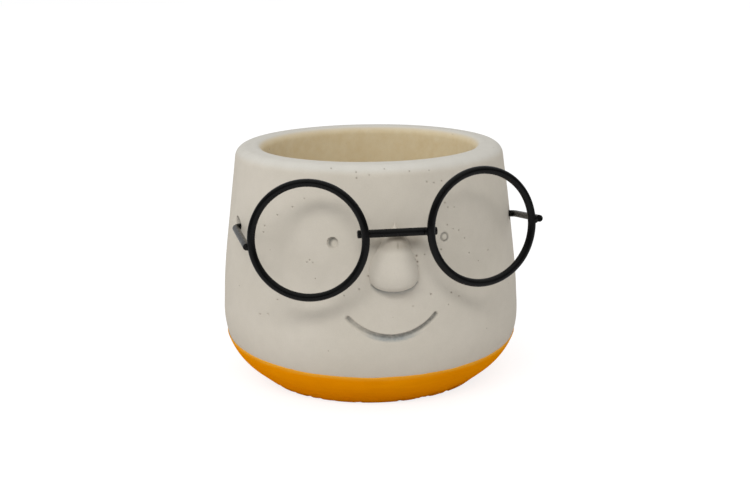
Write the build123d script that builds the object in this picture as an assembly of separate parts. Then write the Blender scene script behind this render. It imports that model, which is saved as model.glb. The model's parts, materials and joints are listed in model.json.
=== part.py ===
from build123d import *
import os
from math import atan2, cos, radians, sin, sqrt

# Head planter: a cast cement pot with a face, a dipped coat on its base and wire spectacles
# that swing on their bent ends in two side holes.
# Millimetres, +Z up, origin at the middle of the base, and the face looks along -Y.
# Left and right are the viewer's, so left is -X.

# Pot
pot_height = 95.0
base_radius = 42.4
base_round = 1.5
belly_corner_radius = 61.4  # where the bevel and the side would meet, before rounding
belly_corner_height = 15.3
belly_round = 28.0
rim_corner_radius = 52.8  # where the side and the top would meet, before rounding
rim_round = 4.6
mouth_radius = 42.2
lip_round = 3.5
rim_tilt = 0.8  # degrees, lower over the face
cavity_floor_radius = 38.0
cavity_floor_round = 6.0
floor_thickness = 11.0

# Dipped coat
coat_thickness = 0.4
dip_height = 19.1  # on the pot's axis
dip_tilt = 4.3  # degrees, lower under the face

# Face
nose_foot_height = 48.5
nose_height = 24.7
nose_width = 18.4
nose_depth = 8.1  # how far it stands out from the wall
nose_shift = 0.7  # towards the viewer's right
nose_root = 2.0  # how deep its sections are centred in the wall
eye_height = 65.9
eye_angle = 21.65  # degrees round the pot, from the nose
eye_ball_radius = 2.2
eye_depth = 1.1
smile_width = 33.2
smile_rise = 7.2
smile_low_height = 31.3
smile_groove_width = 2.0
smile_groove_depth = 1.2

# Wire spectacles
wire_diameter = 2.9
rim_radius = 20.5  # to the middle of the wire
rim_spacing = 63.2  # between the rims' centres
rim_wrap = 14.65  # degrees that each rim turns back, round the face
bridge_height = 70.8
bridge_clearance = 0.5  # between the nose and the bridge
bridge_rise = {"left": 1.0, "right": 0.25}  # above each rim's centre
bridge_overhang = {"left": 3.0, "right": 3.7}  # past each rim's wire
front_shift = 0.85  # the front sits a little towards the viewer's right
front_yaw = 1.2  # degrees: the front is bent by hand, so it isn't quite square
front_roll = -1.94
front_lean = -4.34
weld_gap = 0.15  # between crossed wires, filled by the weld
weld_radius = 1.15
temple_rise = {"left": -1.65, "right": 0.4}  # above each rim's centre
temple_weld_angle = {"left": 30.0, "right": -5.0}  # degrees round the rim's wire, from outside to behind
temple_overhang = {"left": 0.2, "right": 1.2}  # in front of the weld
temple_bend_radius = 2.6

# Hinge: the bent wire ends turn in blind holes in the pot's sides
hinge_forward = 18.5  # in front of the pot's axis
hinge_height = 66.0
leg_in_wall = 9.0
hole_diameter = 5.0
hole_end_gap = 1.5
seat_clearance = 0.3  # beside the leg, where it lies in its hole
seat_turn = 40.0  # degrees from the hole's lowest line to where the leg lies, forward
temple_wall_gap = 0.6  # between the wall and the wire outside it

side_sign = {"left": -1, "right": 1}
wire_radius = wire_diameter / 2


def wall_radius(height):
    """Radius of the pot's straight side at a height."""
    share = (height - belly_corner_height) / (pot_height - belly_corner_height)
    return belly_corner_radius + share * (rim_corner_radius - belly_corner_radius)


def crossing(start_a, angle_a, start_b, angle_b):
    """Point where two lines cross, each given by a point and an angle in radians."""
    across = sin(angle_b - angle_a)
    gap_x = start_b[0] - start_a[0]
    gap_y = start_b[1] - start_a[1]
    along = (gap_x * sin(angle_b) - gap_y * cos(angle_b)) / across
    return (start_a[0] + along * cos(angle_a), start_a[1] + along * sin(angle_a))


def rounded(points, rounds):
    """Face of an outline, with a round at each of the given corners."""
    face = make_face(Polyline(*points, close=True))
    for corner, radius in rounds:
        vertex = face.vertices().sort_by_distance(Vector(*corner))[0]
        face = fillet(vertex, radius)
    return face


def outer_corners(inset):
    """Corners of the pot's outside, moved inwards: foot, belly and rim."""
    bevel = atan2(belly_corner_height, belly_corner_radius - base_radius)
    side = atan2(pot_height - belly_corner_height, rim_corner_radius - belly_corner_radius)
    on_bevel = (belly_corner_radius - inset * sin(bevel), belly_corner_height + inset * cos(bevel))
    on_side = (belly_corner_radius - inset * sin(side), belly_corner_height + inset * cos(side))
    foot = crossing((0, inset), 0, on_bevel, bevel)
    belly = crossing(on_bevel, bevel, on_side, side)
    rim = crossing(on_side, side, (0, pot_height), 0)
    return foot, belly, rim


def outer_body(inset):
    """Solid inside the pot's outside, moved inwards, with a sharp top edge."""
    foot, belly, rim = outer_corners(inset)
    outline = [(0, inset), foot, belly, rim, (0, pot_height)]
    rounds = [(foot, base_round - inset), (belly, belly_round - inset)]
    return revolve(Plane.XZ * rounded(outline, rounds), Axis.Z)


def top_face(body):
    """The flat, sloping face on top of the pot."""
    return body.faces().filter_by(GeomType.PLANE).sort_by(Axis.Z)[-1]


def pot_body():
    """The turned pot, with its cavity and a rim that slopes down over the face."""
    foot, belly, _ = outer_corners(0)
    spare = pot_height + rim_round  # cut off along the slope
    flare = (mouth_radius - cavity_floor_radius) / (pot_height - floor_thickness)
    mouth = (mouth_radius + flare * rim_round, spare)
    floor = (cavity_floor_radius, floor_thickness)
    outline = [(0, 0), foot, belly, (wall_radius(spare), spare), mouth, floor, (0, floor_thickness)]
    rounds = [(foot, base_round), (belly, belly_round), (floor, cavity_floor_round)]
    body = revolve(Plane.XZ * rounded(outline, rounds), Axis.Z)
    slope = Plane((0, rim_corner_radius, pot_height)).rotated((rim_tilt, 0, 0))
    body = split(body, bisect_by=slope, keep=Keep.BOTTOM)
    body = fillet(top_face(body).outer_wire().edges(), rim_round)
    return fillet(top_face(body).inner_wires()[0].edges(), lip_round)


# Sections of the nose from its foot up: shares of its height, half its width and its depth
nose_sections = [
    (0.00, 0.48, 0.37),
    (0.06, 0.82, 0.72),
    (0.16, 0.97, 0.91),
    (0.28, 1.00, 1.00),
    (0.44, 0.90, 1.00),
    (0.60, 0.65, 0.98),
    (0.75, 0.42, 0.92),
    (0.87, 0.25, 0.71),
    (0.94, 0.13, 0.34),
    (1.00, 0.05, 0.03),
]


def ridge_depth(height):
    """How far the nose's ridge stands out from the wall at a height."""
    share = (height - nose_foot_height) / nose_height
    for (low, _, low_depth), (high, _, high_depth) in zip(nose_sections, nose_sections[1:]):
        if low <= share <= high:
            return nose_depth * (low_depth + (share - low) / (high - low) * (high_depth - low_depth))
    return 0.0


def bar_reach(clear_radius):
    """Distance from the pot's axis at which a level bar of that radius just meets the nose's ridge."""
    steps = 40
    reaches = []
    for step in range(-steps, steps + 1):
        rise = clear_radius * step / steps
        height = bridge_height + rise
        ridge = wall_radius(height) + ridge_depth(height)
        reaches.append(ridge + sqrt(clear_radius**2 - rise**2))
    return max(reaches)


def nose():
    """Egg-shaped nose that narrows to a ridge under the bridge."""
    sections = []
    for height_share, width_share, depth_share in nose_sections:
        height = nose_foot_height + height_share * nose_height
        level = Plane((nose_shift, nose_root - wall_radius(height), height))
        half_width = width_share * nose_width / 2
        sections.append(level * Ellipse(half_width, depth_share * nose_depth + nose_root))
    return loft(sections)


def eye_dimple(side):
    """Ball that presses one pupil into the wall."""
    reach = wall_radius(eye_height) + eye_ball_radius - eye_depth
    turn = radians(eye_angle)
    return Pos(side_sign[side] * reach * sin(turn), -reach * cos(turn), eye_height) * Sphere(eye_ball_radius)


def smile_groove():
    """Curved groove of even depth, pressed into the wall."""
    half = smile_width / 2
    ends = smile_low_height + smile_rise
    line = ThreePointArc((-half, ends), (0, smile_low_height), (half, ends))
    through = 2 * belly_corner_radius
    band = extrude(Plane.XZ * SlotArc(line, smile_groove_width), through)
    return band - outer_body(smile_groove_depth)


def side_hole(side):
    """Blind hole for one bent wire end, which lies low and forward in it."""
    slack = hole_diameter / 2 - wire_radius - seat_clearance
    seat_rise = slack * cos(radians(seat_turn))
    seat_back = slack * sin(radians(seat_turn))
    depth = leg_in_wall + hole_end_gap
    sign = side_sign[side]
    mouth = hole_mouth + temple_bend_radius
    middle = sign * (hole_mouth - depth + mouth) / 2
    drill = Rot(Y=90) * Cylinder(hole_diameter / 2, mouth - hole_mouth + depth)
    return Pos(middle, seat_back - hinge_forward, hinge_height + seat_rise) * drill


# Place of the wire front, worked out from the nose, and of the bends beside the holes
hole_mouth = sqrt(wall_radius(hinge_height) ** 2 - hinge_forward**2)
bend_corner = hole_mouth + wire_radius + temple_wall_gap
bridge_forward = bar_reach(wire_radius + bridge_clearance)
front_forward = bridge_forward - rim_radius * sin(radians(rim_wrap)) + wire_diameter + weld_gap
front_height = bridge_height - (bridge_rise["left"] + bridge_rise["right"]) / 2
front_turn = Rot(Z=front_yaw) * Rot(Y=front_roll) * Rot(X=front_lean)
front_place = Pos(front_shift, -front_forward, front_height) * front_turn
rim_place = {}
for side, sign in side_sign.items():
    rim_place[side] = front_place * Pos(sign * rim_spacing / 2, 0, 0) * Rot(Z=sign * rim_wrap)


def wire_rim(side):
    """One round rim, a closed ring of wire."""
    return rim_place[side] * Rot(X=90) * Torus(rim_radius, wire_radius)


def rim_point(side, inward, rise):
    """Point on the middle of a rim's wire, on its inner or outer half, at a rise above its centre."""
    sign = -side_sign[side] if inward else side_sign[side]
    return (rim_place[side] * Pos(sign * sqrt(rim_radius**2 - rise**2), 0, rise)).position


def behind(side):
    """Direction straight back through a rim."""
    return (rim_place[side] * Pos(0, 1, 0)).position - rim_place[side].position


def straight_wire(start, end):
    """Round wire between two points."""
    return sweep(Plane(start, z_dir=end - start) * Circle(wire_radius), Line(start, end))


# Where the wires cross: the bridge lies behind the rims, and each temple beside its rim
wire_step = wire_diameter + weld_gap
bridge_cross = {}
bridge_seat = {}
temple_cross = {}
temple_seat = {}
for side in side_sign:
    bridge_cross[side] = rim_point(side, True, bridge_rise[side])
    bridge_seat[side] = bridge_cross[side] + behind(side) * wire_step
    temple_cross[side] = rim_point(side, False, temple_rise[side])
    outward = (temple_cross[side] - rim_place[side].position).normalized()
    weld_turn = radians(temple_weld_angle[side])
    step = outward * cos(weld_turn) + behind(side) * sin(weld_turn)
    temple_seat[side] = temple_cross[side] + step * wire_step


def bridge_bar():
    """Straight wire that joins the rims, with its cut ends past them."""
    along = (bridge_seat["right"] - bridge_seat["left"]).normalized()
    start = bridge_seat["left"] - along * bridge_overhang["left"]
    return straight_wire(start, bridge_seat["right"] + along * bridge_overhang["right"])


def temple(side):
    """Side wire from its rim back to the hole, with its end bent in to make the hinge."""
    sign = side_sign[side]
    corner = Vector(sign * bend_corner, -hinge_forward, hinge_height)
    forward = (temple_seat[side] - corner).normalized()
    start = temple_seat[side] + forward * temple_overhang[side]
    leg_end = Vector(sign * (hole_mouth - leg_in_wall), -hinge_forward, hinge_height)
    path = FilletPolyline(start, corner, leg_end, radius=temple_bend_radius)
    return sweep(Plane(start, z_dir=-forward) * Circle(wire_radius), path)


def weld(first, second, crossed, seated):
    """Nugget between two wires that cross, cut to lie against both."""
    across = seated - crossed
    nugget = Cylinder(weld_radius, across.length, align=(Align.CENTER, Align.CENTER, Align.MIN))
    return Plane(crossed, z_dir=across) * nugget - first - second


coat = outer_body(0) - outer_body(coat_thickness)
dip_plane = Plane((0, 0, dip_height)).rotated((dip_tilt, 0, 0))
coat = split(coat, bisect_by=dip_plane, keep=Keep.BOTTOM)

pot = pot_body() + nose()
for side in side_sign:
    pot -= eye_dimple(side)
    pot -= side_hole(side)
pot -= smile_groove()
pot -= coat

rims = {side: wire_rim(side) for side in side_sign}
temples = {side: temple(side) for side in side_sign}
bar = bridge_bar()
beads = []
for side in side_sign:
    beads.append(weld(rims[side], bar, bridge_cross[side], bridge_seat[side]))
    beads.append(weld(rims[side], temples[side], temple_cross[side], temple_seat[side]))

nodes = {
    "cement_pot": pot,
    "yellow_dip_coat": coat,
    "left_rim": rims["left"],
    "right_rim": rims["right"],
    "bridge_bar": bar,
    "left_temple": temples["left"],
    "right_temple": temples["right"],
    "weld_beads": Compound(children=[bead.solid() for bead in beads]),
}

os.makedirs("parts", exist_ok=True)
for name, shape in nodes.items():
    export_step(shape, f"parts/{name}.step")
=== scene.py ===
import json
import math

import bpy
from mathutils import Matrix, Vector, noise

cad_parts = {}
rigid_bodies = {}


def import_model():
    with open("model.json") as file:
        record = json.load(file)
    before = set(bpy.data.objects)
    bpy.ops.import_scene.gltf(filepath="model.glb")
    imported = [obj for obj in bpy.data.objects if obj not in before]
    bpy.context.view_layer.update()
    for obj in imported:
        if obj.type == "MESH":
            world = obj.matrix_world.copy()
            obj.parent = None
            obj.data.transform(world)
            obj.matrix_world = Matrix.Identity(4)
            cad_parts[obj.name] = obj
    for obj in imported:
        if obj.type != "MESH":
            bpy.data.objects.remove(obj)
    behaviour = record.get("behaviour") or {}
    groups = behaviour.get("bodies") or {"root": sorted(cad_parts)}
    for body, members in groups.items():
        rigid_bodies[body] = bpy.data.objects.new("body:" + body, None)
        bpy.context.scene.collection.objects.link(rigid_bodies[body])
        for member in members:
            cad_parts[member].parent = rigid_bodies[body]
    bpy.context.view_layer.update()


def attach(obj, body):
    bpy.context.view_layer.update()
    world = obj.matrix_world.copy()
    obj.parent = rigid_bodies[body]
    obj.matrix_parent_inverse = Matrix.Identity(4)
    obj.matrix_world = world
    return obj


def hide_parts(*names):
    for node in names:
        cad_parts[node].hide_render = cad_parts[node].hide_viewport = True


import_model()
bpy.ops.object.select_all(action="DESELECT")

# Cement pot
# One thick-walled casting in pale cement, with the nose, rubbed smooth outside and left raw inside.
# The pupils and the smile are pressed in, and a blind hole in each side takes a bent wire end.
foot_corner = Vector((0.0424, 0.0))
belly_corner = Vector((0.0614, 0.0153))
rim_corner = Vector((0.0528, 0.095))
mouth_corner = Vector((0.0422, 0.095))
cavity_corner = Vector((0.038, 0.011))
cavity_middle = Vector((0.0, 0.011))
foot_round = 0.0015
belly_round = 0.028
rim_round = 0.0046
lip_round = 0.0035
cavity_round = 0.006
rim_slope = math.tan(math.radians(0.8))
face_half_angle = math.radians(56)
face_steps = 250
back_steps = 96
merge_gap = 1e-6
sliver = 1e-5
cast_edge_angle = math.radians(38)


def run_to(outline, end, steps):
    """Adds a straight run to an outline, in even steps."""
    start = outline[-1]
    for step in range(1, steps + 1):
        outline.append(start.lerp(end, step / steps))


def round_at(outline, corner, after, radius, run_steps, round_steps):
    """Adds the run up to a corner of an outline, and the round there."""
    to_before = (outline[-1] - corner).normalized()
    to_after = (after - corner).normalized()
    half_angle = to_before.angle(to_after) / 2
    reach = radius / math.tan(half_angle)
    centre = corner + (to_before + to_after).normalized() * radius / math.sin(half_angle)
    first = corner + to_before * reach - centre
    last = corner + to_after * reach - centre
    sweep = math.pi - 2 * half_angle
    run_to(outline, centre + first, run_steps)
    for step in range(1, round_steps + 1):
        share = step / round_steps
        mixed = first * math.sin((1 - share) * sweep) + last * math.sin(share * sweep)
        outline.append(centre + mixed / math.sin(sweep))


def draw_outline(name, outline, turn):
    """A new object in edit mode that holds an outline, extruded point by point in an upright plane."""
    bpy.ops.object.select_all(action="DESELECT")
    bpy.ops.mesh.primitive_plane_add(size=0.001)
    drawn = bpy.context.object
    drawn.name = name
    bpy.ops.object.mode_set(mode="EDIT")
    bpy.ops.mesh.select_all(action="SELECT")
    bpy.ops.mesh.merge(type="CENTER")
    across = Vector((math.cos(turn), math.sin(turn), 0))
    points = [across * point.x + Vector((0, 0, point.y)) for point in outline]
    bpy.ops.transform.translate(value=points[0])
    for start, end in zip(points, points[1:]):
        bpy.ops.mesh.extrude_region_move(TRANSFORM_OT_translate={"value": end - start})
    bpy.ops.mesh.select_all(action="SELECT")
    return drawn


def close_mesh():
    """Merges the seams of a turned shape and points its faces outwards."""
    bpy.ops.mesh.select_all(action="SELECT")
    bpy.ops.mesh.remove_doubles(threshold=merge_gap)
    bpy.ops.mesh.normals_make_consistent(inside=False)


pot_outline = [Vector((0.0, 0.0))]
round_at(pot_outline, foot_corner, belly_corner, foot_round, 5, 4)
round_at(pot_outline, belly_corner, rim_corner, belly_round, 5, 28)
round_at(pot_outline, rim_corner, mouth_corner, rim_round, 122, 12)
round_at(pot_outline, mouth_corner, cavity_corner, lip_round, 4, 10)
round_at(pot_outline, cavity_corner, cavity_middle, cavity_round, 18, 6)
run_to(pot_outline, cavity_middle, 5)
pot = draw_outline("pot_casting", pot_outline, face_half_angle - math.pi / 2)
bpy.ops.mesh.spin(steps=face_steps, angle=2 * face_half_angle, center=(0, 0, 0), axis=(0, 0, 1))
bpy.ops.mesh.spin(
    steps=back_steps, angle=2 * math.pi - 2 * face_half_angle, center=(0, 0, 0), axis=(0, 0, 1))
close_mesh()
bpy.ops.object.mode_set(mode="OBJECT")


def smooth_step(value, low, high):
    """0 below low, 1 above high, and a smooth rise between them."""
    share = min(max((value - low) / (high - low), 0.0), 1.0)
    return share * share * (3 - 2 * share)


def fade(value, low, high):
    """1 below low, 0 above high, and a smooth fall between them."""
    return 1 - smooth_step(value, low, high)


def band(value, rise, fall):
    """1 between a range in which it rises and one in which it falls, and 0 outside them."""
    return smooth_step(value, *rise) * fade(value, *fall)


def wall_radius(height):
    """Radius of the pot's straight side at a height."""
    return belly_corner.lerp(rim_corner, (height - belly_corner.y) / (rim_corner.y - belly_corner.y)).x


def stands_out(point):
    """How far a point stands out from the straight side."""
    return math.hypot(point.x, point.y) - wall_radius(point.z)


# The smile and the pupils, as seen from the front
smile_half_width = 0.0163
smile_rise = 0.0072
smile_low = 0.0313
smile_above = 0.0009
smile_below = (0.0019, 0.0012)
smile_narrows = (0.25, 0.75)
smile_depth = 0.0008
smile_bowl = 0.7
smile_end = 0.002
smile_margin = 1.5
smile_radius = (smile_half_width**2 + smile_rise**2) / (2 * smile_rise)
smile_reach = math.asin(smile_half_width / smile_radius)
pupil_height = {-1: 0.0658, 1: 0.0661}
pupil_turn = {-1: math.radians(21.8), 1: math.radians(21.4)}
left_pupil_radius = 0.0021
left_pupil_depth = 0.0016
right_pupil_radius = 0.0014
right_pupil_depth = 0.0005
right_pupil_ring = 0.28
pupil_margin = 0.0005
wall_low = 0.025
wall_high = 0.093
wall_inset = 0.002

# The pinholes, each with its place across, its height and its radius in mm
pit_depth = 0.00035
mm_in_m = 1000
pits = [
    (-34.3, 77.6, 0.40), (-39.6, 74.0, 0.35), (-30.1, 81.0, 0.30), (-44.2, 69.2, 0.40), (-44.7, 66.8, 0.35),
    (-29.0, 59.0, 0.35), (-30.0, 58.1, 0.30), (-28.0, 58.1, 0.30), (-12.0, 49.2, 0.45), (-17.4, 46.7, 0.35),
    (20.9, 78.5, 0.40), (22.0, 76.7, 0.35), (24.5, 76.4, 0.30), (21.6, 70.4, 0.35), (23.9, 68.6, 0.30),
    (26.2, 67.8, 0.35), (28.6, 64.5, 0.30), (18.9, 61.7, 0.45), (30.4, 58.7, 0.35), (39.2, 57.8, 0.35),
    (12.4, 60.6, 0.35), (22.6, 45.4, 0.45), (25.7, 43.6, 0.35), (14.5, 45.9, 0.50), (21.4, 41.1, 0.35),
    (49.2, 39.7, 0.40), (-47.1, 35.7, 0.35), (-44.3, 36.5, 0.35), (-40.7, 42.8, 0.35), (-18.8, 28.1, 0.35),
    (7.5, 42.2, 0.30), (14.0, 86.7, 0.35), (16.7, 86.1, 0.30), (19.8, 86.5, 0.35), (-11.7, 89.0, 0.35),
    (9.3, 60.4, 0.55), (9.6, 58.2, 0.50), (9.4, 56.6, 0.55), (-8.6, 53.9, 0.40),
    (-20.3, 92.2, 0.30), (-11.7, 91.1, 0.32), (-7.2, 90.1, 0.30), (-1.6, 92.0, 0.30), (7.5, 90.9, 0.30),
]


def smile_place(point):
    """The share from the smile's middle to an end, the drop below its line and the gap past its end."""
    middle = smile_low + smile_radius
    turn = math.atan2(point.x, middle - point.z)
    held = min(max(turn, -smile_reach), smile_reach)
    below = math.hypot(point.x, point.z - middle) - smile_radius
    past = abs(turn - held) * smile_radius
    return held / smile_reach, below, past


def smile_share(point):
    """0 in the bottom of the smile's groove, and 1 or more outside it."""
    along, below, past = smile_place(point)
    if point.y > 0 or past > smile_end:
        return 2.0
    wide = smile_below[0] + (smile_below[1] - smile_below[0]) * smooth_step(abs(along), *smile_narrows)
    across = below / wide if below > 0 else -below / smile_above
    return math.hypot(across, past / smile_above)


def pupil_gap(point, side, left=0.0, up=0.0):
    """Distance along the wall from the middle of one pupil, or from a place beside the middle."""
    turn = math.atan2(point.x, -point.y) - side * pupil_turn[side]
    height = pupil_height[side]
    return math.hypot(turn * wall_radius(height) + left, point.z - height - up)


def pit_gap(point):
    """How near a point lies to the closest pinhole: 0 in its middle, and 1 outside it."""
    nearest = 1.0
    for x, z, radius in pits:
        if abs(point.z * mm_in_m - z) < 1 and point.y < 0:
            gap = math.hypot(point.x * mm_in_m - x, point.z * mm_in_m - z)
            nearest = min(nearest, gap / radius)
    return nearest


def on_wall(point):
    """Whether a point lies on the outside of the straight side."""
    return wall_low < point.z < wall_high and stands_out(point) > -wall_inset


def dent(point):
    """How deep the wall is pressed in at a point."""
    share = smile_share(point)
    depth = smile_depth * (1 - share**2) ** smile_bowl if share < 1 else 0.0
    left = pupil_gap(point, -1) / left_pupil_radius
    if left < 1:
        depth = max(depth, left_pupil_depth * (1 - left**2) ** 0.5)
    right = pupil_gap(point, 1) / right_pupil_radius
    if right < 2:
        depth = max(depth, right_pupil_depth * math.exp(-(((right - 1) / right_pupil_ring) ** 2)))
    near = pit_gap(point)
    if near < 1:
        depth = max(depth, pit_depth * (1 - near**2))
    return depth


def select_pressed():
    """Selects the wall's points at and round the pressed places."""
    for vertex in pot.data.vertices:
        point = vertex.co
        if on_wall(point):
            pupil = min(pupil_gap(point, -1), pupil_gap(point, 1))
            near_pupil = pupil < left_pupil_radius + pupil_margin
            vertex.select = near_pupil or smile_share(point) < smile_margin or pit_gap(point) < 1


def press_wall():
    """Moves the wall's points in at the pressed places."""
    for vertex in pot.data.vertices:
        point = vertex.co
        if on_wall(point):
            outward = Vector((point.x, point.y, 0)).normalized()
            vertex.co = point - outward * dent(point)


# The side isn't quite straight: how far it stands out at each height, and its lean to the left
side_trim = [
    (0.015, -0.0002), (0.021, -0.0004), (0.027, -0.00048), (0.033, -0.00022),
    (0.039, 0.00015), (0.046, 0.00036), (0.054, 0.00037), (0.064, 0.00028),
    (0.076, 0.0002), (0.086, -0.00002), (0.0945, -0.00015),
]
trim_from_radius = 0.047
trim_from_height = 0.012
side_lean = 0.0002
lean_rises = (0.02, 0.03)
lean_falls = (0.05, 0.08)
rim_tilts = (0.070, 0.088)
cast_swell = 0.00008
cast_swell_scale = 45


def along_table(table, place, column):
    """A value on the smooth curve through a table's rows, at a place in its first column."""
    place = min(max(place, table[0][0]), table[-1][0])
    index = 0
    while index < len(table) - 2 and place > table[index + 1][0]:
        index += 1
    rows = [min(max(index + step, 0), len(table) - 1) for step in (-1, 0, 1, 2)]
    before, low, high, after = [table[row] for row in rows]
    step = high[0] - low[0]
    part = (place - low[0]) / step
    low_slope = (high[column] - before[column]) / (high[0] - before[0]) * step
    high_slope = (after[column] - low[column]) / (after[0] - low[0]) * step
    value = low[column] + (3 * part**2 - 2 * part**3) * (high[column] - low[column])
    return value + (part**3 - 2 * part**2 + part) * low_slope + (part**3 - part**2) * high_slope


def with_normals(piece):
    """Each point of a piece with its normal, taken before any point moves."""
    return [(vertex, vertex.normal.copy()) for vertex in piece.data.vertices]


for vertex, outward in with_normals(pot):
    lift = smooth_step(vertex.co.z, *rim_tilts)
    vertex.co.z -= lift * rim_slope * (rim_corner.x - vertex.co.y)
    radius = math.hypot(vertex.co.x, vertex.co.y)
    if radius > trim_from_radius and vertex.co.z > trim_from_height:
        lean = side_lean * smooth_step(vertex.co.z, *lean_rises) * fade(vertex.co.z, *lean_falls)
        vertex.co += outward * (along_table(side_trim, vertex.co.z, 1) - lean * vertex.co.x / radius)
    vertex.co += outward * cast_swell * noise.noise(vertex.co * cast_swell_scale)
    vertex.select = False
for edge in pot.data.edges:
    edge.select = False
for face in pot.data.polygons:
    face.select = False
select_pressed()
bpy.ops.object.mode_set(mode="EDIT")
bpy.ops.mesh.select_mode(type="VERT")
bpy.ops.mesh.select_more()
bpy.ops.mesh.subdivide(number_cuts=1)
bpy.ops.object.mode_set(mode="OBJECT")
press_wall()

# The nose: shares of its height, half its width and its depth, from its foot up
nose_foot = 0.0485
nose_height = 0.0247
nose_half_width = 0.0092
nose_depth = 0.0081
nose_shift = 0.0007
nose_root = 0.002
nose_sections = [
    (0.00, 0.50, 0.37),
    (0.06, 0.82, 0.72),
    (0.16, 0.97, 0.91),
    (0.28, 1.00, 1.00),
    (0.44, 0.88, 1.00),
    (0.60, 0.69, 0.97),
    (0.75, 0.50, 0.86),
    (0.82, 0.40, 0.70),
    (0.88, 0.25, 0.44),
    (0.93, 0.10, 0.17),
    (1.00, 0.03, 0.02),
]
nose_square = 2.25
nose_lean = 0.0008
nose_leans = (0.4, 0.85)
nose_ball_cut = 0.9


def place_nose(ball_point):
    """Where a point of a round ball goes on the nose."""
    ring = math.hypot(ball_point.x, ball_point.y)
    share = max((ball_point.z + nose_ball_cut) / (1 + nose_ball_cut), 0.0)
    half_width = nose_half_width * along_table(nose_sections, share, 1)
    depth = nose_depth * along_table(nose_sections, share, 2)
    spread = min(ring / math.sqrt(1 - nose_ball_cut**2), 1.0) if share == 0 else 1.0
    if ring < merge_gap:
        spread = 0.0
    turn = math.atan2(ball_point.y, ball_point.x)
    height = nose_foot + share * nose_height
    across = math.copysign(abs(math.cos(turn)) ** (2 / nose_square), math.cos(turn))
    out = math.copysign(abs(math.sin(turn)) ** (2 / nose_square), math.sin(turn))
    x = nose_shift + nose_lean * smooth_step(share, *nose_leans) + spread * half_width * across
    y = nose_root - wall_radius(height) + spread * (depth + nose_root) * out
    return Vector((x, y, height))


def combine(piece, tool, way):
    """Joins a tool to a piece, or cuts it out, and removes the tool."""
    bpy.ops.object.select_all(action="DESELECT")
    bpy.context.view_layer.objects.active = piece
    piece.select_set(True)
    boolean = piece.modifiers.new(name="combine", type="BOOLEAN")
    boolean.operation = way
    boolean.object = tool
    boolean.solver = "EXACT"
    bpy.ops.object.modifier_apply(modifier=boolean.name)
    bpy.data.objects.remove(tool)


bpy.ops.object.select_all(action="DESELECT")
bpy.ops.mesh.primitive_uv_sphere_add(segments=72, ring_count=60, radius=1)
nose = bpy.context.object
for vertex in nose.data.vertices:
    vertex.co = place_nose(vertex.co)
combine(pot, nose, "UNION")

# The side holes, drilled by hand and worn up and back, so the leg lies low and forward in each
hole_radius = 0.0025
hole_floor = 0.0423
hole_end = 0.062
hole_y = -0.01802
hole_z = 0.06657
hole_wear = Vector((0, 0.8, 0.3))
hole_shade_from = 0.0508
for side in (-1, 1):
    bpy.ops.object.select_all(action="DESELECT")
    middle = side * (hole_floor + hole_end) / 2
    bpy.ops.mesh.primitive_cylinder_add(
        vertices=40, radius=hole_radius, depth=hole_end - hole_floor,
        location=(middle, hole_y, hole_z), rotation=(0, math.pi / 2, 0))
    drill = bpy.context.object
    bpy.ops.object.transform_apply()
    bpy.ops.object.mode_set(mode="EDIT")
    bpy.ops.mesh.select_all(action="SELECT")
    # A ring of points part way in, so that the painted shade in each hole fades out towards its mouth
    bpy.ops.mesh.bisect(plane_co=(side * hole_shade_from, 0, 0), plane_no=(1, 0, 0))
    bpy.ops.object.mode_set(mode="OBJECT")
    for vertex in drill.data.vertices:
        vertex.co += hole_wear * max(vertex.co.z - hole_z, 0.0)
    combine(pot, drill, "DIFFERENCE")

# The slivers that the cuts leave are merged away
bpy.ops.object.mode_set(mode="EDIT")
bpy.ops.mesh.select_all(action="SELECT")
bpy.ops.mesh.dissolve_degenerate(threshold=sliver)
bpy.ops.mesh.remove_doubles(threshold=merge_gap)
bpy.ops.object.mode_set(mode="OBJECT")
bpy.ops.object.shade_smooth_by_angle(angle=cast_edge_angle)


def paint(piece, name, amount):
    """Gives each point of a piece a named amount, which its material reads."""
    values = [amount(vertex.co) for vertex in piece.data.vertices]
    layer = piece.data.attributes.new(name=name, type="FLOAT", domain="POINT")
    layer.data.foreach_set("value", values)


# Grey wash on the face: its strength, and the ranges in which it fades at the ends, top and foot
smile_wash = 0.95
smile_wash_ends = (0.15, 0.7)
smile_wash_past = (0.0, 0.0005)
smile_wash_top = (-0.0002, 0.0004)
smile_wash_foot = (0.0015, 0.0022)
nose_wash = 0.6
nose_wash_ends = (0.006, 0.009)
nose_wash_top = (-0.0004, 0.0)
nose_wash_foot = (0.0004, 0.0022)
crease_half_width = 0.0088
crease_rise = 0.0024
crease_bend = 2.6


def nose_edge(x):
    """Height of the lower edge of the nose against the wall."""
    return nose_foot + crease_rise * abs((x - nose_shift) / crease_half_width) ** crease_bend


def grey_wash(point):
    """Thin grey wash that stays below the smile's line and under the nose."""
    if point.y > 0:
        return 0.0
    along, below, past = smile_place(point)
    ends = fade(abs(along), *smile_wash_ends) * fade(past, *smile_wash_past)
    on_smile = smile_wash * ends * band(below, smile_wash_top, smile_wash_foot)
    under = nose_edge(point.x) - point.z
    beside = fade(abs(point.x - nose_shift), *nose_wash_ends)
    return max(on_smile, nose_wash * beside * band(under, nose_wash_top, nose_wash_foot))
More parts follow.
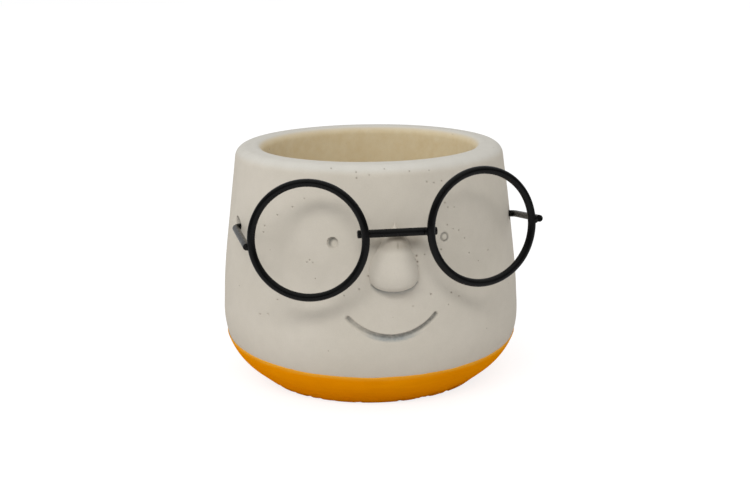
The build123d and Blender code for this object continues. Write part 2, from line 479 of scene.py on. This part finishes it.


# Dark paint and painted shade: its strength in each place, and the ranges in which it fades
hole_shade = 0.7
hole_mouth_middle = (-0.0168, 0.067)
hole_mouth_half = (0.0046, 0.0031)
hole_least_x = 0.042
hole_lip = 0.0003
smile_dark = 0.5
smile_dark_right = 0.35
smile_right_part = (-0.75, -0.15)
smile_dark_tip = 0.3
smile_tip_part = (-0.98, -0.86)
smile_line_past = (0.0001, 0.0006)
smile_line_top = (-0.0011, -0.0003)
smile_line_foot = (0.0003, 0.0012)
right_pupil_dark = 0.6
right_pupil_line = (0.0001, 0.0006)
left_pupil_shade = 0.8
left_pupil_edge = (0.65, 1.05)
left_pupil_lit_place = (-0.0005, -0.0006)
left_pupil_lit = (0.4, 0.95)
crease_shade = 0.55
crease_line = (0.0001, 0.0008)
crease_out = 0.0022
nick_shade = 0.6
nick_middle = (0.0012, 0.0665)
nick_half = (0.0003, 0.0016)
nick_edge = (0.3, 1.2)


def in_hole(point):
    """Whether a point lies in one of the side holes."""
    off_y = abs(point.y - hole_mouth_middle[0])
    off_z = abs(point.z - hole_mouth_middle[1])
    in_mouth = off_y < hole_mouth_half[0] and off_z < hole_mouth_half[1]
    return in_mouth and abs(point.x) > hole_least_x and stands_out(point) < -hole_lip


def dark_paint_and_shade(point):
    """Painted shade and dark paint in the holes, the smile, the pupils, the nose's crease and a nick in the
    nose.
    """
    # Painted shade inside the side holes
    if in_hole(point):
        return hole_shade
    if point.y > 0:
        return 0.0
    # The smile's line: grey paint in the groove, darkened with painted shade along its upper side
    along, below, past = smile_place(point)
    strength = smile_dark + smile_dark_right * smooth_step(along, *smile_right_part)
    strength += smile_dark_tip * fade(along, *smile_tip_part)
    dark = strength * fade(past, *smile_line_past) * band(below, smile_line_top, smile_line_foot)
    ring = abs(pupil_gap(point, 1) - right_pupil_radius)
    dark = max(dark, right_pupil_dark * fade(ring, *right_pupil_line))
    # Painted shade in the left pupil's dimple, with its lit side left pale
    left = pupil_gap(point, -1) / left_pupil_radius
    lit = pupil_gap(point, -1, *left_pupil_lit_place) / left_pupil_radius
    dark = max(dark, left_pupil_shade * fade(left, *left_pupil_edge) * smooth_step(lit, *left_pupil_lit))
    # Painted shade along the crease where the nose meets the wall
    under = nose_edge(point.x) - point.z
    if abs(point.x - nose_shift) < crease_half_width and stands_out(point) < crease_out:
        dark = max(dark, crease_shade * fade(abs(under), *crease_line))
    # Painted shade of a small nick in the top of the nose, which the mesh doesn't dent
    nick_x = (point.x - nick_middle[0]) / nick_half[0]
    nick_z = (point.z - nick_middle[1]) / nick_half[1]
    return max(dark, nick_shade * fade(math.hypot(nick_x, nick_z), *nick_edge))


# Painted shadow of the bridge, partly a brown rub mark: an arch over the top of the nose, and a smear on
# the wall beside it
arch_brown = 0.8
arch_drop = 0.0026
arch_half_width = 0.005
arch_out = (0.002, 0.005)
arch_foot = (0.0663, 0.0684)
arch_lowest = (0.0618, 0.0640)
smear_brown = 0.42
smear_brown_right = 0.2
smear_right_part = (0.0, 0.004)
smear_foot = (0.0628, 0.0660)
smear_top = (0.0670, 0.0695)
smear_ends = (0.0080, 0.0135)


def bridge_shadow_and_rub(point):
    """Painted shadow of the bridge on the nose and the wall, partly a brown rub mark, where it hangs."""
    if point.y > 0:
        return 0.0
    across = abs(point.x - nose_shift)
    arch = point.z + arch_drop * (across / arch_half_width) ** 2
    on_nose = smooth_step(stands_out(point), *arch_out) * smooth_step(arch, *arch_foot)
    on_nose *= smooth_step(point.z, *arch_lowest)
    beside = band(point.z, smear_foot, smear_top) * fade(across, *smear_ends)
    to_right = smooth_step(point.x, *smear_right_part)
    return max(arch_brown * on_nose, beside * (smear_brown + smear_brown_right * to_right))


# The paler rim, the raw cavity and the pinholes: the ranges in which each begins
pale_level = (0.0912, 0.0938)
pale_radius = (0.0425, 0.0440)
raw_radius = (0.0418, 0.0444)
underside_height = 0.005
pit_edge = (0.3, 1.0)
pit_out = 0.0012


def pale_rim(point):
    """The rim, rubbed paler than the wall."""
    radius = math.hypot(point.x, point.y)
    level = point.z + rim_slope * (rim_corner.x - point.y)
    return smooth_step(level, *pale_level) * smooth_step(radius, *pale_radius)


def raw_inside(point):
    """The bare cavity, as against the rubbed outside."""
    radius = math.hypot(point.x, point.y)
    return fade(radius, *raw_radius) if point.z > underside_height else 0.0


def pit_dark(point):
    """How dark a point lies in a pinhole."""
    return fade(pit_gap(point), *pit_edge) if on_wall(point) and stands_out(point) < pit_out else 0.0


paint(pot, "grey_wash", grey_wash)
paint(pot, "dark_paint_and_shade", dark_paint_and_shade)
paint(pot, "raw_inside", raw_inside)
paint(pot, "bridge_shadow_and_rub", bridge_shadow_and_rub)
paint(pot, "pale_rim", pale_rim)
paint(pot, "pit_dark", pit_dark)


def tone(red, green, blue):
    """A colour as it looks, from 0 to 255, for a shader."""
    looks = [channel / 255 for channel in (red, green, blue)]
    light = [look / 12.92 if look <= 0.04045 else ((look + 0.055) / 1.055) ** 2.4 for look in looks]
    return (*light, 1.0)


def add_node(tree, kind, inputs=None, **settings):
    """A new shader node with its settings, each input set to a value or linked to a socket."""
    made = tree.nodes.new(kind)
    for name, value in settings.items():
        setattr(made, name, value)
    for name, given in (inputs or {}).items():
        if isinstance(given, bpy.types.NodeSocket):
            tree.links.new(given, made.inputs[name])
        else:
            made.inputs[name].default_value = given
    return made


def mix_tones(tree, amount, first, second):
    """Mixes two colours by an amount."""
    inputs = {0: amount, 6: first, 7: second}
    return add_node(tree, "ShaderNodeMix", inputs, data_type="RGBA").outputs[2]


def ramp(tree, socket, span, results):
    """Maps a value from one range to another, held at the ends."""
    inputs = {"From Min": span[0], "From Max": span[1], "To Min": results[0], "To Max": results[1]}
    return add_node(tree, "ShaderNodeMapRange", {"Value": socket, **inputs}).outputs["Result"]


def calculate(tree, way, first, second):
    """Sum, product or the like of two values."""
    return add_node(tree, "ShaderNodeMath", {0: first, 1: second}, operation=way).outputs[0]


def uneven(tree, place, scale, detail):
    """Soft noise over a piece."""
    inputs = {"Vector": place, "Scale": scale, "Detail": detail}
    return add_node(tree, "ShaderNodeTexNoise", inputs).outputs["Fac"]


def roughen(tree, shader, height, strength, distance):
    """Relief that is too fine for the mesh."""
    inputs = {"Height": height, "Strength": strength, "Distance": distance}
    bump = add_node(tree, "ShaderNodeBump", inputs)
    tree.links.new(bump.outputs["Normal"], shader.inputs["Normal"])


def new_material(name, roughness, specular):
    """A material with its shader."""
    material = bpy.data.materials.new(name)
    material.use_nodes = True
    tree = material.node_tree
    shader = tree.nodes["Principled BSDF"]
    shader.inputs["Roughness"].default_value = roughness
    shader.inputs["Specular IOR Level"].default_value = specular
    return material, tree, shader


def own_place(tree):
    """A piece's own coordinates."""
    return add_node(tree, "ShaderNodeTexCoord").outputs["Object"]


def painted(tree, name):
    """The amount that was painted on a piece under a name."""
    return add_node(tree, "ShaderNodeAttribute", attribute_name=name).outputs["Fac"]


noise_span = (0.3, 0.7)
cement_tones = (tone(194, 187, 174), tone(199, 192, 180))
raw_tones = (tone(202, 184, 147), tone(212, 197, 163))
rim_tone = tone(198, 195, 187)
mottle_tone = tone(160, 152, 138)
grain_tone = tone(150, 144, 132)
wash_tone = tone(143, 146, 144)
paint_and_shade_tone = tone(102, 101, 96)
bridge_shadow_tone = tone(116, 104, 87)
pit_tone = tone(110, 98, 84)
speck_depth = 1.4
cement, tree, shader = new_material("pale_cement", roughness=0.9, specular=0.25)
place = own_place(tree)
cloud = uneven(tree, place, scale=32, detail=3)
mottle = uneven(tree, place, scale=240, detail=4)
blotch = uneven(tree, place, scale=900, detail=2)
grain = uneven(tree, place, scale=2200, detail=3)
raw = mix_tones(tree, ramp(tree, mottle, noise_span, (0, 1)), *raw_tones)
colour = mix_tones(tree, ramp(tree, cloud, noise_span, (0, 1)), *cement_tones)
colour = mix_tones(tree, painted(tree, "pale_rim"), colour, rim_tone)
colour = mix_tones(tree, painted(tree, "raw_inside"), colour, raw)
colour = mix_tones(tree, ramp(tree, mottle, (0.35, 0.7), (0, 0.08)), colour, mottle_tone)
colour = mix_tones(tree, ramp(tree, grain, (0.3, 0.75), (0, 0.10)), colour, grain_tone)
patchy = ramp(tree, blotch, (0.35, 0.6), (0.75, 1.0))
washed = calculate(tree, "MULTIPLY", painted(tree, "grey_wash"), patchy)
colour = mix_tones(tree, washed, colour, wash_tone)
# Dark paint and painted shade, in patches
darkened = calculate(tree, "MULTIPLY", painted(tree, "dark_paint_and_shade"), patchy)
colour = mix_tones(tree, darkened, colour, paint_and_shade_tone)
# Painted shadow of the bridge, partly a brown rub mark, in patches
worn = ramp(tree, mottle, noise_span, (0.65, 0.95))
rubbed = calculate(tree, "MULTIPLY", painted(tree, "bridge_shadow_and_rub"), worn)
colour = mix_tones(tree, rubbed, colour, bridge_shadow_tone)

# Specks that are too small for the mesh lie between the pinholes
specks = add_node(tree, "ShaderNodeTexVoronoi", {"Vector": place, "Scale": 260})
chance = add_node(tree, "ShaderNodeSeparateColor", {"Color": specks.outputs["Color"]}).outputs["Red"]
speck = ramp(tree, specks.outputs["Distance"], (0.05, 0.085), (1, 0))
speck = calculate(tree, "MULTIPLY", speck, ramp(tree, chance, (0.86, 0.88), (0, 1)))
pitted = calculate(tree, "MAXIMUM", speck, painted(tree, "pit_dark"))
pitted = calculate(tree, "MULTIPLY", pitted, ramp(tree, mottle, noise_span, (0.4, 0.75)))
colour = mix_tones(tree, pitted, colour, pit_tone)
tree.links.new(colour, shader.inputs["Base Color"])
relief = calculate(tree, "SUBTRACT", grain, calculate(tree, "MULTIPLY", speck, speck_depth))
roughen(tree, shader, relief, strength=0.25, distance=0.00015)
pot.data.materials.append(cement)
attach(pot, "pot")
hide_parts("cement_pot")

# Yellow coat
# A thin coat of satin paint on the foot and the lower belly, from dipping the pot a little askew.
# Its top edge is crisp and slightly wavy, and the paint is chipped along the edge of the foot.
dip_height = 0.0191
dip_tilt = math.radians(4.3)
coat_proud = 0.00008
coat_depth = 0.00035
coat_steps = 420
coat_edge_angle = math.radians(40)
thin_strip = (0.0004, 0.0014)
waved_strip = (0.0, 0.003)
long_wave = 0.00035
long_wave_scale = 5
short_wave = 0.00012
short_wave_scale = 40
chip_scale = 240
small_chip = 0.4
small_chip_scale = 2.3
chip_least = 0.12
chip_up = 0.0009
chip_in = 0.0012
foot_edge_radius = (0.0400, 0.0425)
foot_edge_height = (0.0012, 0.0040)
coat_outline = [Vector((0.0, 0.0))]
round_at(coat_outline, foot_corner, belly_corner, foot_round, 14, 6)
round_at(coat_outline, belly_corner, rim_corner, belly_round, 10, 26)
coat = draw_outline("dip_coat", coat_outline, 0)
bpy.ops.mesh.spin(steps=coat_steps, angle=2 * math.pi, center=(0, 0, 0), axis=(0, 0, 1))
close_mesh()
bpy.ops.mesh.bisect(
    plane_co=(0, 0, dip_height), plane_no=(0, -math.sin(dip_tilt), math.cos(dip_tilt)), clear_outer=True)
bpy.ops.object.mode_set(mode="OBJECT")


def dip_line(point):
    """Height of the coat's edge above or below a point, before it waves."""
    return dip_height + math.tan(dip_tilt) * point.y - point.z


def thin_edge(point):
    """The strip along the coat's edge, where it is thin."""
    return fade(dip_line(point), *thin_strip)


for vertex, outward in with_normals(coat):
    point = vertex.co.copy()
    facing = point.normalized()
    wave = long_wave * noise.noise(Vector((facing.x, facing.y, 0)) * long_wave_scale)
    wave += short_wave * noise.noise(Vector((facing.x, facing.y, 3)) * short_wave_scale)
    near_edge = fade(dip_line(point), *waved_strip)
    chip_place = Vector((point.x, point.y, 0.0)) * chip_scale
    chip = noise.noise(chip_place) + small_chip * noise.noise(chip_place * small_chip_scale)
    chip = max(chip - chip_least, 0)
    radius = math.hypot(point.x, point.y)
    at_foot = smooth_step(radius, *foot_edge_radius) * fade(point.z, *foot_edge_height)
    sideways = Vector((point.x, point.y, 0)).normalized()
    vertex.co += outward * coat_proud
    vertex.co.z += near_edge * wave + at_foot * chip * chip_up
    vertex.co -= sideways * at_foot * chip * chip_in
    vertex.co.z = max(vertex.co.z, 0.0)

shell = coat.modifiers.new(name="coat", type="SOLIDIFY")
shell.thickness = coat_depth
shell.offset = -1
bpy.ops.object.modifier_apply(modifier=shell.name)
bpy.ops.object.shade_smooth_by_angle(angle=coat_edge_angle)
paint(coat, "thin_edge", thin_edge)

yellow_tones = (tone(229, 141, 2), tone(233, 147, 3))
streak_tone = tone(220, 129, 1)
thin_tone = tone(232, 192, 84)
yellow, tree, shader = new_material("yellow_satin_paint", roughness=0.5, specular=0.0)
place = own_place(tree)
streak_place = add_node(tree, "ShaderNodeMapping", {"Vector": place, "Scale": (1, 1, 14)}).outputs["Vector"]
cloud = uneven(tree, place, scale=60, detail=3)
streak = uneven(tree, streak_place, scale=70, detail=3)
grain = uneven(tree, place, scale=1500, detail=2)
colour = mix_tones(tree, ramp(tree, cloud, noise_span, (0, 1)), *yellow_tones)
colour = mix_tones(tree, ramp(tree, streak, (0.4, 0.7), (0, 0.3)), colour, streak_tone)
thin = calculate(tree, "MULTIPLY", painted(tree, "thin_edge"), ramp(tree, grain, noise_span, (0.25, 0.5)))
colour = mix_tones(tree, thin, colour, thin_tone)
tree.links.new(colour, shader.inputs["Base Color"])
roughen(tree, shader, grain, strength=0.2, distance=0.0001)
coat.data.materials.append(yellow)
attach(coat, "pot")
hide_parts("yellow_dip_coat")

# The cement lies a little deeper under the coat, apart from a strip along the coat's edge
sunk_strip = (0.0008, 0.002)
sunk_from_radius = 0.045
sunk_below_height = 0.0105
foot_sunk = 0.0009
for vertex, outward in with_normals(pot):
    point = vertex.co
    outside = math.hypot(point.x, point.y) > sunk_from_radius or point.z < sunk_below_height
    if outside and dip_line(point) > sunk_strip[0]:
        sunk = coat_depth * smooth_step(dip_line(point), *sunk_strip)
        sunk += foot_sunk * fade(point.z, *foot_edge_height)
        vertex.co = point - outward * sunk

# Wire rims
# Two rings of steel wire, each bent round and butt-welded, with a black satin coating.
# They are welded to the bridge and the side wires and a little askew, as bent by hand.
wire_radius = 0.00145
rim_radius = 0.0205
wire_edge_angle = math.radians(40)
wire_swell = 0.00003
wire_swell_scale = 160
rim_place = {
    "left": ((-0.030465, -0.061583, 0.069105), (-4.301, -2.025, -13.6)),
    "right": ((0.032645, -0.060261, 0.071165), (-4.301, -2.025, 15.7)),
}
black_tones = (tone(4, 4, 4), tone(9, 9, 9))
black_wire, tree, shader = new_material("black_satin_wire", roughness=0.36, specular=0.17)
place = own_place(tree)
cloud = uneven(tree, place, scale=180, detail=3)
peel = uneven(tree, place, scale=1300, detail=2)
colour = mix_tones(tree, ramp(tree, cloud, noise_span, (0, 1)), *black_tones)
tree.links.new(colour, shader.inputs["Base Color"])
tree.links.new(ramp(tree, cloud, noise_span, (0.22, 0.34)), shader.inputs["Roughness"])
roughen(tree, shader, peel, strength=0.2, distance=0.0001)


def finish_wire(piece, node):
    """Smooths a wire piece, coats it and hangs it on the spectacles."""
    bpy.ops.object.shade_smooth_by_angle(angle=wire_edge_angle)
    piece.data.materials.append(black_wire)
    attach(piece, "glasses")
    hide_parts(node)


for side, (middle, turn) in rim_place.items():
    bpy.ops.object.select_all(action="DESELECT")
    bpy.ops.mesh.primitive_torus_add(
        major_segments=144, minor_segments=24, major_radius=rim_radius, minor_radius=wire_radius,
        rotation=(math.pi / 2, 0, 0))
    ring = bpy.context.object
    ring.name = f"rim_ring_{side}"
    bpy.ops.object.transform_apply()
    for vertex, outward in with_normals(ring):
        vertex.co += outward * wire_swell * noise.noise(vertex.co * wire_swell_scale)
    ring.location = middle
    ring.rotation_euler = [math.radians(angle) for angle in turn]
    bpy.ops.object.transform_apply()
    finish_wire(ring, f"{side}_rim")

# Bridge
# A straight length of the same black wire across the back of both rims, with its cut ends past them.
# It is welded on where it crosses the rims, and its middle rests on the nose.
bridge_start = Vector((-0.013154, -0.063353, 0.070967))
bridge_end = Vector((0.015569, -0.062833, 0.070965))
bridge_run = bridge_end - bridge_start
cut_end_bevel = 0.0004


def lay_along(piece, middle, along):
    """Moves a piece from the origin to its place, with its height along a direction."""
    turned = along.to_track_quat("Z", "Y").to_matrix().to_4x4()
    piece.matrix_world = Matrix.Translation(middle) @ turned
    bpy.ops.object.transform_apply()


bpy.ops.object.select_all(action="DESELECT")
bpy.ops.mesh.primitive_cylinder_add(vertices=28, radius=wire_radius, depth=bridge_run.length)
bridge = bpy.context.object
bridge.name = "bridge_wire"
bpy.ops.object.mode_set(mode="EDIT")
bpy.ops.mesh.select_all(action="SELECT")
bpy.ops.mesh.bevel(offset=cut_end_bevel, segments=3)
bpy.ops.object.mode_set(mode="OBJECT")
lay_along(bridge, (bridge_start + bridge_end) / 2, bridge_run)
finish_wire(bridge, "bridge_bar")

# Side wires
# One black wire on each side is welded to its rim and runs back along the pot.
# Its rear end is bent inwards and turns in the pot's hole, which is the hinge of the spectacles.
temple_points = {
    "left": ((-0.0520, -0.0563, 0.06655), (-0.054831, -0.0185, 0.066), (-0.043781, -0.0185, 0.066)),
    "right": ((0.055132, -0.055254, 0.072246), (0.054831, -0.0185, 0.0668), (0.043781, -0.0185, 0.0668)),
}
side_wire_radius = 0.0013
bend_radius = 0.0032
for side, points in temple_points.items():
    start, corner, leg_end = [Vector(point) for point in points]
    forward = (start - corner).normalized()
    inward = (leg_end - corner).normalized()
    half_angle = forward.angle(inward) / 2
    reach = bend_radius / math.tan(half_angle)
    handle = 4 / 3 * math.tan((math.pi - 2 * half_angle) / 4) * bend_radius
    bpy.ops.object.select_all(action="DESELECT")
    bpy.ops.curve.primitive_bezier_curve_add()
    wire = bpy.context.object
    wire.name = f"side_wire_{side}"
    spline = wire.data.splines[0]
    spline.bezier_points.add(2)
    bend_front = [corner + forward * (reach + way * handle) for way in (1, 0, -1)]
    bend_back = [corner + inward * (reach + way * handle) for way in (-1, 0, 1)]
    knots = [(start, start, start), bend_front, bend_back, (leg_end, leg_end, leg_end)]
    for knot, (before, at, after) in zip(spline.bezier_points, knots):
        knot.handle_left_type = "FREE"
        knot.handle_right_type = "FREE"
        knot.handle_left = before
        knot.co = at
        knot.handle_right = after
    wire.data.bevel_depth = side_wire_radius
    wire.data.bevel_resolution = 6
    wire.data.resolution_u = 24
    wire.data.use_fill_caps = True
    bpy.ops.object.convert(target="MESH")
    wire = bpy.context.object
    bpy.ops.object.mode_set(mode="EDIT")
    close_mesh()
    bpy.ops.object.mode_set(mode="OBJECT")
    finish_wire(wire, f"{side}_temple")

# Welds
# A small lump of weld fills each crossing of the wires, under the same black coating.
# Each row gives a point on both wires, the radius of the lump and how round it is along the gap.
weld_places = [
    ((-0.010871, -0.066257, 0.071164), (-0.010154, -0.063299, 0.070967), 0.00165, 0.75),
    ((0.012695, -0.065826, 0.071215), (0.011870, -0.062900, 0.070965), 0.00165, 0.75),
    ((-0.0505, -0.0555, 0.0664), (-0.0523, -0.0548, 0.0662), 0.0014, 1.0),
    ((0.052130, -0.054648, 0.071923), (0.055122, -0.054071, 0.072045), 0.00165, 0.75),
]
lump_swell = 0.12
lump_swell_scale = 900
lump_seed_scale = 1000
lumps = []
for crossed, seated, lump_radius, flatness in weld_places:
    bpy.ops.object.select_all(action="DESELECT")
    middle = (Vector(crossed) + Vector(seated)) / 2
    bpy.ops.mesh.primitive_uv_sphere_add(segments=28, ring_count=18, radius=lump_radius)
    lump = bpy.context.object
    for vertex in lump.data.vertices:
        swell_place = vertex.co * lump_swell_scale + middle * lump_seed_scale
        vertex.co *= 1 + lump_swell * noise.noise(swell_place)
        vertex.co.z *= flatness
    lay_along(lump, middle, Vector(seated) - Vector(crossed))
    lumps.append(lump)
for lump in lumps:
    lump.select_set(True)
bpy.context.view_layer.objects.active = lumps[0]
bpy.ops.object.join()
welds = bpy.context.object
welds.name = "weld_lumps"
finish_wire(welds, "weld_beads")

# Studio
# A plain white paper floor, and soft light from both sides, which is stronger from the viewer's left.
# One long soft box in front casts the faint shadows of the rims.
floor_size = 8
floor_gap = 0.0001
floor_bounce = (0.72, 0.72, 0.72, 1)
floor_seen = (0.28, 0.28, 0.28, 1)
floor_glow = 0.81
white = (1, 1, 1, 1)
bpy.ops.object.select_all(action="DESELECT")
bpy.ops.mesh.primitive_plane_add(size=floor_size, location=(0, 0, -floor_gap))
floor = bpy.context.object
floor.name = "studio_floor"
bpy.ops.object.transform_apply()


def background_ray(tree):
    """1 for the rays that show the background, and 0 for those that light the object or mirror in it."""
    ray = add_node(tree, "ShaderNodeLightPath")
    return calculate(tree, "MAXIMUM", ray.outputs["Is Camera Ray"], ray.outputs["Is Transmission Ray"])


def switch(tree, choice, off, on):
    """One of two values."""
    return add_node(tree, "ShaderNodeMix", {0: choice, 2: off, 3: on}, data_type="FLOAT").outputs[0]


paper, tree, shader = new_material("white_paper", roughness=1.0, specular=0.0)
shader.inputs["Emission Color"].default_value = white
seen = background_ray(tree)
tree.links.new(mix_tones(tree, seen, floor_bounce, floor_seen), shader.inputs["Base Color"])
tree.links.new(ramp(tree, seen, (0, 1), (0, floor_glow)), shader.inputs["Emission Strength"])
floor.data.materials.append(paper)

world = bpy.data.worlds.new("studio_world")
bpy.context.scene.world = world
world.use_nodes = True
tree = world.node_tree
sky = tree.nodes["Background"]
sky.inputs["Color"].default_value = white
direction = add_node(tree, "ShaderNodeTexCoord").outputs["Generated"]
parts = add_node(tree, "ShaderNodeSeparateXYZ", {0: direction})
from_left = ramp(tree, parts.outputs["X"], (-1, 0), (1.32, 0.1))
from_right = ramp(tree, parts.outputs["X"], (0, 1), (0, 0.9))
overhead = ramp(tree, parts.outputs["Z"], (0.4, 1), (0, 0.5))
ambient = calculate(tree, "ADD", calculate(tree, "ADD", from_left, from_right), overhead)
mirrored_top = ramp(tree, parts.outputs["Z"], (0.3, 0.9), (0.1, 0.8))
mirrored_back = ramp(tree, parts.outputs["Y"], (0.1, 0.6), (0, 0.5))
mirrored = calculate(tree, "ADD", mirrored_top, mirrored_back)
glossy = add_node(tree, "ShaderNodeLightPath").outputs["Is Glossy Ray"]
strength = switch(tree, background_ray(tree), switch(tree, glossy, ambient, mirrored), 1.0)
tree.links.new(strength, sky.inputs["Strength"])

# The lamp is a long soft box, up and a little to the viewer's left
box_turn = math.radians(-16)
box_rise = math.radians(42)
box_away = 1.0
box_width = 0.78
box_height = 0.2
box_power = 4.0
shines_from = Vector((
    math.sin(box_turn) * math.cos(box_rise),
    -math.cos(box_turn) * math.cos(box_rise),
    math.sin(box_rise)))
bpy.ops.object.light_add(type="AREA", location=shines_from * box_away)
lamp = bpy.context.object
lamp.name = "soft_box"
lamp.rotation_euler = shines_from.to_track_quat("Z", "Y").to_euler()
lamp.data.shape = "RECTANGLE"
lamp.data.size = box_width
lamp.data.size_y = box_height
lamp.data.energy = box_power
lamp.visible_glossy = False

# The camera, fitted to the photograph
camera_place = (-0.06752904, -0.49945553, 0.16866510)
camera_turn = (76.75423, 0.72259, -8.08168)
camera_lens = 61.196
bpy.ops.object.camera_add(location=camera_place)
camera = bpy.context.object
camera.rotation_euler = [math.radians(angle) for angle in camera_turn]
camera.data.lens = camera_lens
camera.data.sensor_width = 36
bpy.context.scene.camera = camera
bpy.context.scene.view_settings.view_transform = "Standard"
